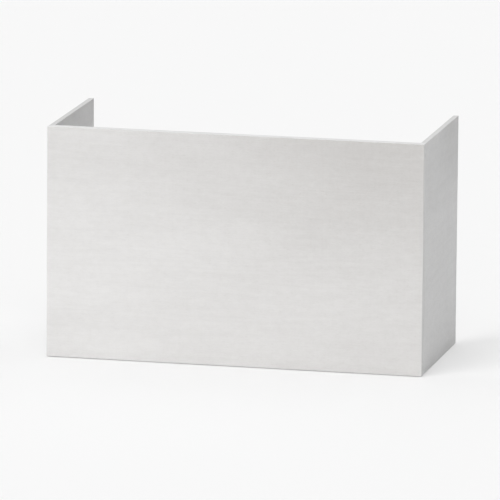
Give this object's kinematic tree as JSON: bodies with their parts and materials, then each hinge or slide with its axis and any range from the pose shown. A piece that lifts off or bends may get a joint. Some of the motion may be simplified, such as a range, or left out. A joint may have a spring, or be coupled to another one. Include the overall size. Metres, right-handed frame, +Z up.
{
  "type": "dj booth",
  "caption": "Free-standing folding DJ booth facade: a long white wooden front with a hinged wing behind each end, open at the top and back.",
  "frame": {"origin": "on the floor, at the middle of the footprint with the wings square to the front", "axes": "+X along the front to the right as the audience sees it, +Y from the front to the open back, +Z up"},
  "size_m": [1.8288, 0.8128, 1.1176],
  "materials": {
    "whitewashed_plywood": "white wash, satin",
    "whitewashed_lumber": "white wash, matt",
    "bare_beech": "bare",
    "zinc_plate": "bright zinc plate",
    "bright_steel": "drawn wire",
    "nylon": "moulded",
    "ferrite": "pressed and ground"
  },
  "bodies": {
    "front": {"front_panel": "whitewashed_plywood", "top_rail": "whitewashed_lumber", "bottom_rail": "whitewashed_lumber", "frame_dowels": "bare_beech", "panel_brads": "bright_steel", "front_glide_pads": "nylon", "front_glide_nails": "bright_steel", "left_stile": "whitewashed_lumber", "left_mid_stile": "whitewashed_lumber", "left_hinge_frame_screws": "zinc_plate", "left_catch_housing": "nylon", "left_catch_magnet": "ferrite", "left_catch_poles": "zinc_plate", "left_catch_screws": "zinc_plate", "left_lower_hinge_frame_leaf": "zinc_plate", "left_lower_hinge_pin": "zinc_plate", "left_middle_hinge_frame_leaf": "zinc_plate", "left_middle_hinge_pin": "zinc_plate", "left_upper_hinge_frame_leaf": "zinc_plate", "left_upper_hinge_pin": "zinc_plate", "right_stile": "whitewashed_lumber", "right_mid_stile": "whitewashed_lumber", "right_hinge_frame_screws": "zinc_plate", "right_catch_housing": "nylon", "right_catch_magnet": "ferrite", "right_catch_poles": "zinc_plate", "right_catch_screws": "zinc_plate", "right_lower_hinge_frame_leaf": "zinc_plate", "right_lower_hinge_pin": "zinc_plate", "right_middle_hinge_frame_leaf": "zinc_plate", "right_middle_hinge_pin": "zinc_plate", "right_upper_hinge_frame_leaf": "zinc_plate", "right_upper_hinge_pin": "zinc_plate"},
    "left_wing": {"left_wing_board": "whitewashed_plywood", "left_hinge_wing_screws": "zinc_plate", "left_wing_glide_pads": "nylon", "left_wing_glide_nails": "bright_steel", "left_strike_plate": "zinc_plate", "left_strike_screws": "zinc_plate", "left_lower_hinge_wing_leaf": "zinc_plate", "left_middle_hinge_wing_leaf": "zinc_plate", "left_upper_hinge_wing_leaf": "zinc_plate"},
    "right_wing": {"right_wing_board": "whitewashed_plywood", "right_hinge_wing_screws": "zinc_plate", "right_wing_glide_pads": "nylon", "right_wing_glide_nails": "bright_steel", "right_strike_plate": "zinc_plate", "right_strike_screws": "zinc_plate", "right_lower_hinge_wing_leaf": "zinc_plate", "right_middle_hinge_wing_leaf": "zinc_plate", "right_upper_hinge_wing_leaf": "zinc_plate"}
  },
  "joints": [
    {"name": "left_wing_fold", "type": "hinge", "parent": "front", "child": "left_wing", "pos_m": [-0.8842, -0.3508, 0.5608], "axis": [0, 0, -1], "range_deg": [0, 90]},
    {"name": "right_wing_fold", "type": "hinge", "parent": "front", "child": "right_wing", "pos_m": [0.8842, -0.3508, 0.5608], "axis": [0, 0, 1], "range_deg": [0, 90]}
  ]
}
